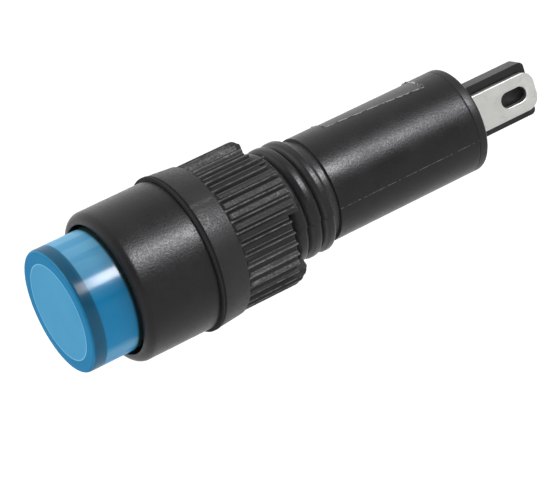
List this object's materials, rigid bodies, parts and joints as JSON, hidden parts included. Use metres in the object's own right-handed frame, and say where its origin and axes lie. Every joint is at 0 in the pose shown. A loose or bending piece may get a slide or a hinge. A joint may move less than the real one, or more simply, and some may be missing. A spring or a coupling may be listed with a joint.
{
  "type": "panel indicator lamp",
  "caption": "Round panel indicator lamp with a blue cap, threaded neck with ribbed lock nut and washer, and slotted solder lugs behind a plain barrel.",
  "frame": {"origin": "on the lamp's axis in the plane of the head's rear face, which seats on the front of the panel", "axes": "+Y along the axis from the lens to the solder lugs; +X across the flat faces of the lugs; +Z along the width of the lugs"},
  "size_m": [0.0136, 0.0469, 0.0136],
  "materials": {
    "black_nylon": "satin black moulded nylon with a fine grain",
    "blue_lens": "clear blue polished acrylic",
    "white_diffuser": "translucent white moulding",
    "black_rubber": "matt black rubber",
    "tinned_brass": "satin tin plate over brass",
    "solder": "smooth bright solder",
    "led_resin": "water-clear epoxy",
    "resistor_coat": "blue-green lacquer coat",
    "diode_epoxy": "moulded black epoxy",
    "shrink_sleeve": "semi-matt black heat-shrink sleeve"
  },
  "bodies": {
    "housing": {"housing": "black_nylon", "lens": "blue_lens", "diffuser": "white_diffuser", "led_holder": "white_diffuser", "led_body": "led_resin", "terminal_base": "black_nylon", "lug_a": "tinned_brass", "lug_b": "tinned_brass", "resistor_body": "resistor_coat", "diode_body": "diode_epoxy", "led_anode_lead": "tinned_brass", "resistor_front_lead": "tinned_brass", "resistor_rear_lead": "tinned_brass", "solder_anode": "solder", "sleeve_anode": "shrink_sleeve", "solder_lug_a": "solder", "led_cathode_lead": "tinned_brass", "diode_front_lead": "tinned_brass", "diode_rear_lead": "tinned_brass", "solder_cathode": "solder", "sleeve_cathode": "shrink_sleeve", "solder_lug_b": "solder"},
    "washer": {"gasket_washer": "black_rubber"},
    "nut": {"lock_nut": "black_nylon"}
  },
  "joints": [
    {"name": "nut_travel", "type": "slide", "parent": "housing", "child": "washer", "axis": [0, 1, 0], "range_m": [0, 0.00945]},
    {"name": "nut_spin", "type": "hinge", "parent": "washer", "child": "nut", "pos_m": [0, 0, 0], "axis": [0, 1, 0], "range_deg": [0, 2520]}
  ],
  "couplings": [
    {"joint": "nut_spin", "follows": "nut_travel", "rad_per_m": 4654.2}
  ]
}
